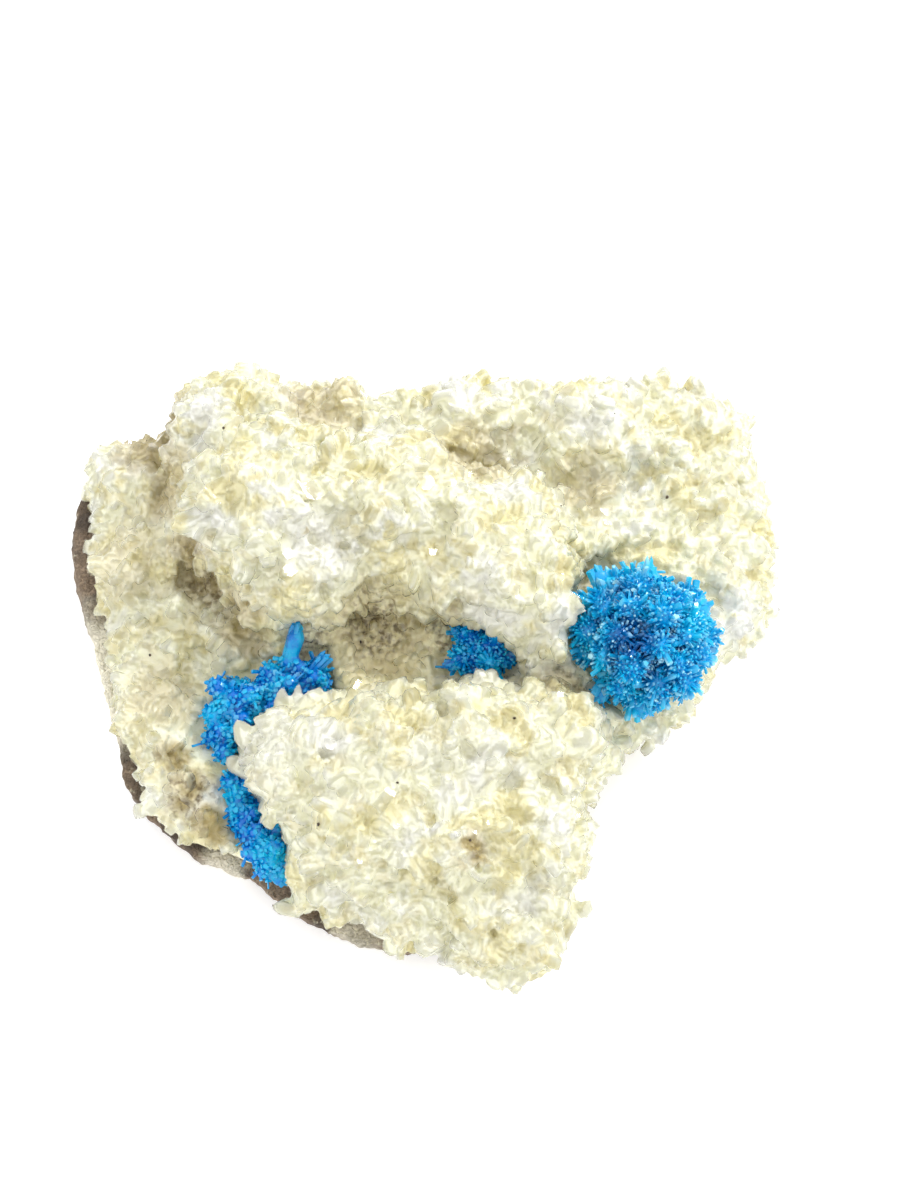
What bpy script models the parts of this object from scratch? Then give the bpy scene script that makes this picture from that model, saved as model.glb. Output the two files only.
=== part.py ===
# Pentagonite on stilbite and basalt, a cabinet specimen about 105 mm long.
# Blender 4.5: blender --background --python part.py
# The script works in millimetres and the scene is in metres. +Z is up, and the underside rests on z = 0.

import math
import random

import bmesh
import bpy
from mathutils import Matrix, Vector, noise
from mathutils.bvhtree import BVHTree

mm = 0.001

# Driving dimensions, in mm
contact_height = 6.0          # mean height of the surface where the crust sits on the basalt
contact_tilt = (-0.04, 0.01)  # rise of that surface for each mm along X and Y
contact_waves = 1.4           # how far it undulates
contact_wave_scale = 0.045    # waves for each mm
contact_step = 15.0           # distance between its points
contact_steps = 8
below_everything = -20.0      # depth that a cutter reaches down to
gap = 0.55                    # clearance round the pieces that sit in the crust
least_gap = 0.25              # what is left of it after the crust is simplified

# Outer edge of the stilbite crust, seen from above, clockwise from the left
crust_outline = (
    (-51, 27), (-50.5, 34), (-44.5, 37.5), (-38, 38), (-33, 41.5), (-25, 43.5), (-13, 43), (-3, 42),
    (9, 43), (24, 45), (35, 44), (44.5, 42), (50, 34), (51.5, 22), (50.5, 11), (46, 3.5),
    (37, -2.5), (30.5, -7.5), (24, -17.5), (19.5, -25.5), (19.5, -33), (16.5, -40), (10.5, -43.5), (3.5, -42),
    (0, -39), (-7, -37.5), (-16, -34), (-23.5, -29), (-31, -24.5), (-37, -20.5), (-40, -16), (-42, -9),
    (-45, 1), (-47.5, 11), (-49, 18),
)

# Broken edge of the basalt, which stands out from under the crust along the left and the front left
basalt_outline = (
    (-52.6, 19.5), (-51.8, 26), (-49.5, 33), (-44, 35), (-36, 36.5), (-28, 40), (-14, 40), (0, 39),
    (14, 40), (28, 41), (40, 39), (46, 32), (48, 21), (47, 11), (41.5, 3), (33, -5),
    (25, -13), (18, -22), (16, -30), (11, -37), (5, -39.5), (-1, -39.7), (-8, -38.4), (-16, -35),
    (-23, -30.4), (-30, -26.5), (-37.5, -21.5), (-41.3, -17.5), (-44.3, -8), (-47.8, 4), (-51.2, 13),
)

# Levels of each piece's side: height, and how far it stands out from the outline there
basalt_levels = ((-1.0, -2.0), (2.5, 0.0), (5.5, 0.3), (12.0, -1.2))
crust_levels = ((2.0, -1.5), (4.0, 0.0), (9.0, 0.0), (11.0, -2.4))
basalt_roughness = 1.8        # how far the broken side of the basalt stands in and out
basalt_roughness_scale = 0.35

# Lumps of the crust: centre x, y, z and half sizes along X, Y, Z
ridge_lumps = (
    (-21, 18.5, 21, 10, 11.5, 12), (-21.5, 24, 14, 10.5, 10.5, 11), (-17, 9, 18.5, 7.5, 7, 8.5),
    (-4, 18.5, 19.5, 10.5, 10.5, 12), (-4, 23.5, 14, 11, 9.5, 11), (5.5, 13.5, 18.5, 8.5, 8, 9.5),
    (13.5, 8.5, 17.5, 8.5, 8.5, 10), (16.5, 1.5, 16.5, 5.5, 5, 7), (12, 16.5, 14, 9.5, 9.5, 11),
    (-27, 33, 16.5, 9, 8.5, 10), (-30, 24, 13, 6.5, 8, 8.5),
)
rim_lumps = (
    (-24.5, 37.5, 13.5, 8, 5.5, 7.5), (-13.5, 37, 13, 7, 5.5, 6.5), (-3, 36.5, 13, 6.5, 5.5, 6),
    (6.5, 35.5, 14, 7.5, 7, 8), (16.5, 38, 13, 6.5, 5.5, 6.5), (25, 33.5, 15, 7.5, 7.5, 9.5),
    (33.5, 37.5, 13, 6.5, 5.5, 6.5), (41, 36, 12, 6.5, 6, 6.5), (19, 29, 11, 6, 6, 6.5),
)
shelf_lumps = (
    (34, 24.5, 10, 7.5, 7.5, 6.5), (43, 27, 9, 6.5, 6.5, 5.5), (44.5, 16.5, 8, 6.5, 7, 5.5),
    (45, 8, 7.5, 5.5, 5, 4.5), (26, 20.5, 10, 7, 7, 6.5), (35, 13, 9, 7.5, 6.5, 5.5),
    (31, -2, 8, 8, 7, 5), (23, -4, 10, 5, 6, 6), (-43, 29, 9, 5.5, 6.5, 4.5), (-41.5, 16, 9.5, 5.5, 6.5, 5),
    (-36, 4, 9, 6, 7, 4.5), (-37, -8.5, 9, 5, 6.5, 4.5), (-32.5, -17.5, 8.5, 6, 5.5, 4.5),
    (-36, 24, 8.5, 5, 6, 4), (-24, 4, 8.5, 6, 6, 4), (-30, -22, 8, 5, 4.5, 4),
)
mound_lumps = (
    (-14.5, -17, 14, 8, 8, 9), (-4, -16.5, 15, 9.5, 8, 10.5), (8, -15, 15, 9, 7.5, 10),
    (17.5, -14, 13.5, 7.5, 7.5, 8), (-8, -26, 13, 9, 7.5, 8.5), (5, -26, 13.5, 9, 8, 9),
    (15, -26, 12, 7, 7.5, 7.5), (11.5, -37, 9.5, 8, 7, 6.5), (0, -35, 9.5, 7, 5, 5.5),
    (-11.5, -31.5, 9.5, 6, 4.5, 5),
)
skin_voxel = 1.5          # how finely the lumps flow into one skin
skin_softening = 3
skin_relief = 3.2         # height of the small lumps on it
skin_relief_size = 6.0
skin_triangles = 1000
crust_triangles = 5550    # of the skin and its blades together

# Stilbite blades that stand out of the crust
blade_spacing = 3.9
blade_tries = 9000
blade_sizes = ((4.2, 6.2), (3.0, 4.6), (1.4, 2.1))  # shortest and longest, then the same for width and thickness
blade_corners = ((-0.42, 0.0), (0.42, 0.0), (0.5, 0.74), (-0.36, 1.0))  # shares of its width and of its length
blade_buried = 2.0
blade_least_height = 1.1  # of its root above the basalt
blade_lean = 55.0         # degrees away from upright on the skin
blade_least_rise = -0.15  # blades grow where the skin's normal rises at least this much
blade_seed = 41
open_spaces = ((10.5, 2.5, 20.0, 5.0, 4.5, 4.0),)  # kept free of blades: centre and half sizes

# Pentagonite: cores as centre and half sizes, each with a number of five-sided crystals that radiate from it,
# how far they stand out and how thick they are, then single crystals as root, tip and thickness
clusters = {
    "pentagonite_large_rosette": {
        "cores": (((31.5, 0.6, 17.5), (8.4, 8.4, 7.4), 30, 2.1, 1.9),),
        "crystals": (
            ((32.0, 5.0, 19.0), (32.4, 11.4, 21.5), 1.5), ((27.0, 5.0, 19.0), (24.6, 10.2, 21.5), 1.6),
            ((26.0, 3.0, 18.0), (20.9, 6.4, 20.5), 1.4), ((36.0, 3.0, 18.5), (41.0, 4.8, 20.5), 1.7),
            ((37.0, -1.0, 17.0), (41.6, -2.4, 17.0), 1.6), ((35.0, -4.0, 15.5), (38.2, -7.4, 15.5), 1.6),
            ((31.0, -5.0, 15.0), (31.0, -10.8, 15.5), 1.7), ((27.0, -4.0, 15.5), (24.2, -8.6, 15.5), 1.5),
        ),
    },
    "pentagonite_small_rosette": {
        "cores": (((9.3, 0.2, 14.2), (4.2, 3.4, 3.2), 8, 1.2, 1.2),),
        "crystals": (
            ((7.0, 1.5, 14.5), (4.4, 3.4, 16.4), 1.0), ((9.8, 1.5, 15.0), (10.2, 4.6, 17.2), 1.0),
            ((11.5, -0.2, 14.2), (14.6, -0.6, 14.6), 1.1), ((7.0, -1.0, 13.8), (4.0, -2.4, 14.6), 1.1),
        ),
    },
    "pentagonite_left_spray": {
        "cores": (
            ((-24.8, -7.4, 13.2), (4.2, 3.5, 3.3), 7, 1.3, 1.4), ((-19.4, -5.4, 13.6), (3.4, 3.1, 3.2), 5, 1.2, 1.3),
            ((-15.2, -4.8, 13.8), (2.8, 2.7, 2.9), 5, 1.3, 1.2), ((-26.8, -11.8, 12.0), (2.2, 2.6, 2.2), 5, 1.2, 1.1),
        ),
        "crystals": (
            ((-18.6, -3.8, 14.0), (-16.2, 2.8, 19.0), 1.5), ((-26.0, -6.0, 13.5), (-29.4, -5.0, 15.0), 0.9),
            ((-15.0, -3.4, 14.0), (-12.4, -1.4, 16.4), 1.0),
        ),
    },
    "pentagonite_flank_seam": {
        "cores": (
            ((-24.5, -19.6, 11.2), (1.8, 2.6, 2.3), 4, 0.9, 1.1), ((-23.3, -23.4, 10.8), (2.3, 2.7, 2.3), 4, 1.0, 1.1),
            ((-20.2, -27.4, 10.6), (3.0, 3.2, 2.6), 8, 1.1, 1.2),
        ),
        "crystals": (
            ((-24.6, -18.4, 11.4), (-25.4, -16.4, 12.8), 0.9), ((-19.3, -29.4, 10.2), (-18.1, -32.6, 9.6), 1.2),
        ),
    },
}
crystal_sides = 5
crystal_shoulder = 0.72       # share of its length where a crystal is widest
crystal_root = 0.6            # its thickness at the root, as a share of the widest
crystal_root_depth = 0.45     # where crystals start, as a share of the way out from the core's centre
crystal_stand_out = (0.75, 1.15)
crystal_lowest_rise = -0.25   # how far down the core's side they grow
crystal_scatter = 0.3         # radians
crystal_seed = 5


def clear_scene():
    for thing in list(bpy.data.objects):
        bpy.data.objects.remove(thing, do_unlink=True)


def material(name, colour, roughness):
    made = bpy.data.materials.new(name)
    made.use_nodes = True
    shader = made.node_tree.nodes["Principled BSDF"]
    shader.inputs["Base Color"].default_value = (*colour, 1.0)
    shader.inputs["Roughness"].default_value = roughness
    shader.inputs["Metallic"].default_value = 0.0
    made.diffuse_color = (*colour, 1.0)
    return made


def mesh_object(name, bm, finish=None):
    """The bmesh as an object, in metres."""
    bmesh.ops.recalc_face_normals(bm, faces=bm.faces)
    bmesh.ops.scale(bm, vec=(mm, mm, mm), verts=bm.verts)
    mesh = bpy.data.meshes.new(name)
    bm.to_mesh(mesh)
    bm.free()
    thing = bpy.data.objects.new(name, mesh)
    bpy.context.scene.collection.objects.link(thing)
    if finish:
        mesh.materials.append(finish)
    return thing


def helper(thing):
    """Marks an object that only cuts or guides another one."""
    thing.hide_render = True
    thing.display_type = "WIRE"
    return thing


def boolean(thing, operation, other, own_overlaps=False):
    cut = thing.modifiers.new(operation.lower() + " " + other.name, "BOOLEAN")
    cut.operation = operation
    cut.object = other
    cut.solver = "EXACT"
    cut.use_self = own_overlaps
    return cut


def apply_modifiers(thing):
    graph = bpy.context.evaluated_depsgraph_get()
    result = bpy.data.meshes.new_from_object(thing.evaluated_get(graph))
    thing.modifiers.clear()
    thing.data = result


def fewer_triangles(thing, triangles):
    thing.data.calc_loop_triangles()
    fewer = thing.modifiers.new("facets", "DECIMATE")
    fewer.ratio = triangles / len(thing.data.loop_triangles)
    fewer.use_collapse_triangulate = True
    apply_modifiers(thing)


def keep_largest_piece(thing):
    """Removes the crumbs and the closed hollows that a Boolean leaves beside the main skin."""
    bm = bmesh.new()
    bm.from_mesh(thing.data)
    left = set(bm.verts)
    pieces = []
    while left:
        front = [left.pop()]
        piece = set(front)
        while front:
            for edge in front.pop().link_edges:
                for vert in edge.verts:
                    if vert in left:
                        left.discard(vert)
                        piece.add(vert)
                        front.append(vert)
        pieces.append(piece)
    pieces.sort(key=len)
    for piece in pieces[:-1]:
        bmesh.ops.delete(bm, geom=list(piece), context="VERTS")
    bmesh.ops.triangulate(bm, faces=bm.faces)
    bm.to_mesh(thing.data)
    bm.free()


def rounded(outline, steps):
    """A closed Catmull-Rom curve through the outline's points."""
    count = len(outline)
    points = [Vector(p) for p in outline]
    curve = []
    for i in range(count):
        a, b, c, d = (points[(i + k - 1) % count] for k in range(4))
        for step in range(steps):
            t = step / steps
            bend = (2 * a - 5 * b + 4 * c - d) * t * t + (3 * b - a - 3 * c + d) * t ** 3
            curve.append(b + ((c - a) * t + bend) / 2)
    return curve


def block(outline, levels, roughness=0.0):
    """A closed block through rings of the outline, one for each level."""
    bm = bmesh.new()
    count = len(outline)
    rings = []
    for height, out in levels:
        ring = []
        for i, point in enumerate(outline):
            along = outline[(i + 1) % count] - outline[i - 1]
            outward = Vector((-along.y, along.x)).normalized()
            rough = noise.noise(Vector((point.x, point.y, height)) * basalt_roughness_scale)
            place = point + outward * (out + roughness * rough)
            ring.append(bm.verts.new((place.x, place.y, height)))
        rings.append(ring)
    for low, high in zip(rings, rings[1:]):
        for i in range(count):
            k = (i + 1) % count
            bm.faces.new((low[i], low[k], high[k], high[i]))
    bm.faces.new(rings[0][::-1])
    bm.faces.new(rings[-1])
    return bm


def contact(x, y):
    """Height of the surface between basalt and crust."""
    wave = noise.noise(Vector((x, y, 0)) * contact_wave_scale)
    return contact_height + contact_tilt[0] * x + contact_tilt[1] * y + contact_waves * wave


def contact_block(name, bottom, lift):
    """A block whose top is the contact surface."""
    bm = bmesh.new()
    row = contact_steps + 1
    half = contact_step * contact_steps / 2
    top = []
    for j in range(row):
        for i in range(row):
            x = contact_step * i - half
            y = contact_step * j - half
            top.append(bm.verts.new((x, y, contact(x, y) + lift)))
    for j in range(contact_steps):
        for i in range(contact_steps):
            a = j * row + i
            bm.faces.new((top[a], top[a + 1], top[a + row + 1]))
            bm.faces.new((top[a], top[a + row + 1], top[a + row]))
    skirt = bmesh.ops.extrude_edge_only(bm, edges=[e for e in bm.edges if e.is_boundary])
    low = [v for v in skirt["geom"] if isinstance(v, bmesh.types.BMVert)]
    for vert in low:
        vert.co.z = bottom
    bmesh.ops.contextual_create(bm, geom=[e for e in bm.edges if e.is_boundary])
    return helper(mesh_object(name, bm))


def basalt_matrix(finish):
    outline = [Vector(point) for point in basalt_outline]
    slab = mesh_object("basalt_matrix", block(outline, basalt_levels, basalt_roughness), finish)
    boolean(slab, "INTERSECT", contact_block("basalt_limits", 0.0, 0.0))
    return slab


def ellipsoid(bm, centre, half_sizes, subdivisions=3):
    place = Matrix.Translation(centre) @ Matrix.Diagonal((*half_sizes, 1.0))
    bmesh.ops.create_icosphere(bm, subdivisions=subdivisions, radius=1.0, matrix=place)


def crust_skin():
    """The slab of crust and all its lumps, flowed into one skin."""
    bm = block(rounded(crust_outline, 2), crust_levels)
    for x, y, z, *half_sizes in ridge_lumps + rim_lumps + shelf_lumps + mound_lumps:
        ellipsoid(bm, (x, y, z), half_sizes)
    skin = mesh_object("crust_skin", bm)
    remesh = skin.modifiers.new("one skin", "REMESH")
    remesh.mode = "VOXEL"
    remesh.voxel_size = skin_voxel * mm
    soften = skin.modifiers.new("soften", "SMOOTH")
    soften.iterations = skin_softening
    grain = bpy.data.textures.new("small lumps", "CLOUDS")
    grain.noise_scale = skin_relief_size * mm
    lumps = skin.modifiers.new("small lumps", "DISPLACE")
    lumps.texture = grain
    lumps.strength = skin_relief * mm
    apply_modifiers(skin)
    fewer_triangles(skin, skin_triangles)
    return skin


def blade(root, axis, across, length, width, thickness):
    """Corners and faces of one flat stilbite crystal with a blunt, slanted end."""
    out = axis.cross(across)
    corners = [
        root + across * (u * width) + axis * (v * length) + out * (side * thickness)
        for side in (-0.5, 0.5)
        for u, v in blade_corners
    ]
    count = len(blade_corners)
    faces = [tuple(range(count)), tuple(range(2 * count - 1, count - 1, -1))]
    for i in range(count):
        k = (i + 1) % count
        faces.append((k, i, i + count, k + count))
    return corners, faces


def search_tree(thing):
    """For finding what lies near or crosses this object, in mm."""
    mesh = thing.data
    return BVHTree.FromPolygons([v.co / mm for v in mesh.vertices], [p.vertices for p in mesh.polygons])


def open_space():
    bm = bmesh.new()
    for x, y, z, *half_sizes in open_spaces:
        ellipsoid(bm, (x, y, z), half_sizes)
    return helper(mesh_object("open_space", bm))


def stilbite_blades(skin, neighbours):
    """Blades at scattered places on the skin, clear of its neighbours."""
    draw = random.Random(blade_seed)
    skin_tree = search_tree(skin)
    neighbour_trees = [search_tree(thing) for thing in neighbours + [open_space()]]
    polygons = list(skin.data.polygons)
    areas = [p.area for p in polygons]
    bm = bmesh.new()
    placed = []
    for polygon in draw.choices(polygons, areas, k=blade_tries):
        a, b, c = (skin.data.vertices[i].co / mm for i in polygon.vertices)
        u, v = sorted((draw.random(), draw.random()))
        spot = a * u + b * (v - u) + c * (1 - v)
        if polygon.normal.z < blade_least_rise or spot.z < contact(spot.x, spot.y) + blade_least_height:
            continue
        if any((spot - other).length < blade_spacing for other in placed):
            continue
        upright = skin_tree.find_nearest(spot)[1]
        lean = Vector([draw.gauss(0, 1) for _ in range(3)])
        lean = (lean - upright * lean.dot(upright)).normalized()
        angle = math.radians(blade_lean) * draw.random()
        axis = (upright * math.cos(angle) + lean * math.sin(angle)).normalized()
        across = axis.cross(Vector([draw.gauss(0, 1) for _ in range(3)])).normalized()
        sizes = [draw.uniform(*span) for span in blade_sizes]
        corners, faces = blade(spot - axis * blade_buried, axis, across, *sizes)
        tree = BVHTree.FromPolygons(corners, faces)
        if any(tree.overlap(other) for other in neighbour_trees):
            continue
        placed.append(spot)
        verts = [bm.verts.new(corner) for corner in corners]
        for face in faces:
            bm.faces.new([verts[i] for i in face])
    return helper(mesh_object("crust_blades", bm))


def stilbite_crust(finish, neighbours, trims):
    crust = crust_skin()
    crust.name = "stilbite_crust"
    crust.data.materials.append(finish)
    for neighbour in neighbours:
        boolean(crust, "DIFFERENCE", neighbour)
    apply_modifiers(crust)
    keep_largest_piece(crust)
    boolean(crust, "UNION", stilbite_blades(crust, neighbours), own_overlaps=True)
    apply_modifiers(crust)
    keep_largest_piece(crust)
    fewer_triangles(crust, crust_triangles)
    for trim in trims:
        boolean(crust, "DIFFERENCE", trim)
    apply_modifiers(crust)
    keep_largest_piece(crust)
    return crust


def crystal(bm, root, tip, thickness, margin):
    """A five-sided pentagonite crystal with a point."""
    axis = (tip - root).normalized()
    tip = tip + axis * margin
    across = axis.orthogonal().normalized()
    up = axis.cross(across)
    rings = []
    for share, width in ((0.0, crystal_root), (crystal_shoulder, 1.0)):
        centre = root.lerp(tip, share)
        ring = []
        for i in range(crystal_sides):
            turn = math.tau * i / crystal_sides
            out = across * math.cos(turn) + up * math.sin(turn)
            ring.append(bm.verts.new(centre + out * (thickness * width + margin)))
        rings.append(ring)
    low, high = rings
    point = bm.verts.new(tip)
    for i in range(crystal_sides):
        k = (i + 1) % crystal_sides
        bm.faces.new((low[i], low[k], high[k], high[i]))
        bm.faces.new((high[i], high[k], point))
    bm.faces.new(low[::-1])


def radiating(centre, half_sizes, count, stand_out, draw):
    """Roots and tips of crystals spread evenly round a core, above its foot."""
    spread = []
    golden_angle = math.pi * (3 - math.sqrt(5))
    for i in range(count):
        rise = 1 - (1 - crystal_lowest_rise) * (i + 0.5) / count
        flat = math.sqrt(1 - rise * rise)
        turn = golden_angle * i + draw.uniform(-crystal_scatter, crystal_scatter)
        way = Vector((flat * math.cos(turn), flat * math.sin(turn), rise))
        reach = Vector([w * h for w, h in zip(way, half_sizes)])
        tip = reach + way * stand_out * draw.uniform(*crystal_stand_out)
        spread.append((Vector(centre) + reach * crystal_root_depth, Vector(centre) + tip))
    return spread


def pentagonite_cluster(name, plan, margin=0.0, finish=None):
    """One cluster, or with a margin the socket that it sits in."""
    draw = random.Random(crystal_seed)
    cores = bmesh.new()
    crystals = bmesh.new()
    for centre, half_sizes, count, stand_out, thickness in plan["cores"]:
        ellipsoid(cores, centre, [h + margin for h in half_sizes], 1)
        for root, tip in radiating(centre, half_sizes, count, stand_out, draw):
            crystal(crystals, root, tip, thickness, margin)
    for root, tip, thickness in plan["crystals"]:
        crystal(crystals, Vector(root), Vector(tip), thickness, margin)
    cluster = mesh_object(name, cores, finish)
    boolean(cluster, "UNION", helper(mesh_object(name + "_crystals", crystals)), own_overlaps=True)
    apply_modifiers(cluster)
    keep_largest_piece(cluster)
    return cluster


def build():
    clear_scene()
    basalt_matrix(material("basalt", (0.13, 0.10, 0.08), 0.9))
    azure = material("pentagonite", (0.0, 0.16, 0.62), 0.35)
    sockets = [contact_block("crust_underside", below_everything, gap)]
    trims = [contact_block("crust_underside_trim", below_everything, least_gap)]
    for name, plan in clusters.items():
        pentagonite_cluster(name, plan, finish=azure)
        sockets.append(helper(pentagonite_cluster(name + "_socket", plan, margin=gap)))
        trims.append(helper(pentagonite_cluster(name + "_trim", plan, margin=least_gap)))
    stilbite_crust(material("stilbite", (0.80, 0.76, 0.60), 0.45), sockets, trims)


build()
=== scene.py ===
import math
import random

import bmesh
import bpy
from mathutils import Matrix, Vector
from mathutils.bvhtree import BVHTree


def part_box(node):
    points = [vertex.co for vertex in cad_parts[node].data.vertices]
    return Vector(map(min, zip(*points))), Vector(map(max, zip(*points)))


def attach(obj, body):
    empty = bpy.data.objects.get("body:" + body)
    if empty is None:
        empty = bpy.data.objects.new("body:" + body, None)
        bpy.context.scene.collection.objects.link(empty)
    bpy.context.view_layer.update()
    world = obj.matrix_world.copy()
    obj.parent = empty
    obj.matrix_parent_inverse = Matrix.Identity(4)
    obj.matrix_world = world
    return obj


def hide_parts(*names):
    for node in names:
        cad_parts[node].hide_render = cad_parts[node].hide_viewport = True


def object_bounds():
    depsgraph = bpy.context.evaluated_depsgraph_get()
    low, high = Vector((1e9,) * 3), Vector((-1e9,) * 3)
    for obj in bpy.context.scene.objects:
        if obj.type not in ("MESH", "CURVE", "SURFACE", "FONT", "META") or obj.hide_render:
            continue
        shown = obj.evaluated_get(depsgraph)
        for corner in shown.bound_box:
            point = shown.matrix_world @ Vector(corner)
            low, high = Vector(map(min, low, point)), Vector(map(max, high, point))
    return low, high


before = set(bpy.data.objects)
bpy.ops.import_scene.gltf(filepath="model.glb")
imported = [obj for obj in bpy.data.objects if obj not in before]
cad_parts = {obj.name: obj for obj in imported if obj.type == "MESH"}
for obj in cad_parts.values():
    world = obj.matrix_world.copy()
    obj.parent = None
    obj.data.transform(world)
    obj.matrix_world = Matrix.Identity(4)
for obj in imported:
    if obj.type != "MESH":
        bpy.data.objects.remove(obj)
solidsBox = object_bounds()

mm = 0.001
blueNodes = [name for name in sorted(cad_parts) if name.startswith("pentagonite")]


# Small helpers for meshes

def addObject(name, data):
    thing = bpy.data.objects.new(name, data)
    bpy.context.scene.collection.objects.link(thing)
    return thing


def dropObject(thing):
    mesh = thing.data
    bpy.data.objects.remove(thing)
    bpy.data.meshes.remove(mesh)


def madeMesh(bm, name):
    mesh = bpy.data.meshes.new(name)
    bm.to_mesh(mesh)
    bm.free()
    return mesh


def finishedMesh(bm, name):
    bmesh.ops.recalc_face_normals(bm, faces=bm.faces)
    return madeMesh(bm, name)


def mergedCopy(nodeName, name):
    bm = bmesh.new()
    bm.from_mesh(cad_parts[nodeName].data)
    bmesh.ops.remove_doubles(bm, verts=bm.verts, dist=0.001 * mm)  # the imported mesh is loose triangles
    return addObject(name, madeMesh(bm, name))


def makePlain(thing):
    graph = bpy.context.evaluated_depsgraph_get()
    mesh = bpy.data.meshes.new_from_object(thing.evaluated_get(graph))
    thing.modifiers.clear()
    old = thing.data
    thing.data = mesh
    mesh.name = thing.name
    if old.users == 0:
        bpy.data.meshes.remove(old)
    return thing


def remeshed(thing, voxel, smoothing):
    flow = thing.modifiers.new("one skin", "REMESH")
    flow.mode = "VOXEL"
    flow.voxel_size = voxel * mm
    soften = thing.modifiers.new("soften", "SMOOTH")
    soften.iterations = smoothing
    return makePlain(thing)


def roughen(thing, name, size, strength, middle=0.5):
    grain = bpy.data.textures.new(name, "CLOUDS")
    grain.noise_scale = size * mm
    lumps = thing.modifiers.new(name, "DISPLACE")
    lumps.texture = grain
    lumps.strength = strength * mm
    lumps.mid_level = middle


def triangleCount(thing):
    thing.data.calc_loop_triangles()
    return len(thing.data.loop_triangles)


def searchTree(thing):
    mesh = thing.data
    return BVHTree.FromPolygons([v.co for v in mesh.vertices], [p.vertices for p in mesh.polygons])


def storeFloats(mesh, name, values):
    attribute = mesh.attributes.new(name, "FLOAT", "POINT")
    attribute.data.foreach_set("value", values)


# Rays spread evenly over a half sphere round +Z
def skyRays(count):
    rays = []
    for i in range(count):
        rise = (i + 0.5) / count
        flat = math.sqrt(1 - rise * rise)
        turn = math.pi * (3 - math.sqrt(5)) * i
        rays.append(Vector((flat * math.cos(turn), flat * math.sin(turn), rise)))
    return rays


rayStart = 0.3  # above the surface, so that a ray doesn't meet its own face


# Share of the rays from each point that meet the surface nearby: 0 on a crest, near 1 deep in a hollow. The materials
# paint shade by it.
def storeShelter(thing, reach, rayCount):
    tree = searchTree(thing)
    rays = skyRays(rayCount)
    values = []
    for vertex in thing.data.vertices:
        turned = vertex.normal.to_track_quat("Z", "Y")
        start = vertex.co + vertex.normal * rayStart * mm
        met = sum(1 for ray in rays if tree.ray_cast(start, turned @ ray, reach * mm)[0])
        values.append(met / rayCount)
    storeFloats(thing.data, "shelter", values)


# Small helpers for node trees

def fill(tree, socket, value):
    if isinstance(value, bpy.types.NodeSocket):
        tree.links.new(value, socket)
    else:
        socket.default_value = value


def fillAll(tree, node, inputs):
    for name, value in inputs.items():
        fill(tree, node.inputs[name], value)


def newNode(tree, kind, inputs=None, **settings):
    node = tree.nodes.new(kind)
    for name, value in settings.items():
        setattr(node, name, value)
    fillAll(tree, node, inputs or {})
    return node


def mathNode(tree, operation, a, b, clamp=False):
    return newNode(tree, "ShaderNodeMath", {0: a, 1: b}, operation=operation, use_clamp=clamp).outputs[0]


def vectorMath(tree, operation, a, b=None, scale=None):
    inputs = {name: value for name, value in {0: a, 1: b, "Scale": scale}.items() if value is not None}
    return newNode(tree, "ShaderNodeVectorMath", inputs, operation=operation).outputs[0]


# A direction that changes slowly from place to place, with no direction as its mean
def drift(tree, place, scale, detail, amount):
    cloud = newNode(tree, "ShaderNodeTexNoise", {"Vector": place, "Scale": scale, "Detail": detail})
    centred = vectorMath(tree, "SUBTRACT", cloud.outputs["Color"], (0.5, 0.5, 0.5))
    return vectorMath(tree, "SCALE", centred, scale=amount)


def namedValue(tree, name):
    return newNode(tree, "GeometryNodeInputNamedAttribute", {"Name": name}, data_type="FLOAT").outputs["Attribute"]


def withValue(tree, geometry, name, value):
    inputs = {"Geometry": geometry, "Name": name, "Value": value}
    node = newNode(tree, "GeometryNodeStoreNamedAttribute", inputs, data_type="FLOAT", domain="POINT")
    return node.outputs["Geometry"]


def groupSockets(tree, inputs, outputs):
    for direction, sockets in (("INPUT", inputs), ("OUTPUT", outputs)):
        for name, kind in sockets:
            tree.interface.new_socket(name, in_out=direction, socket_type="NodeSocket" + kind)
    return newNode(tree, "NodeGroupInput").outputs, newNode(tree, "NodeGroupOutput").inputs


driftAmount = 4.0  # brings the noise from about a quarter to about one


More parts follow.
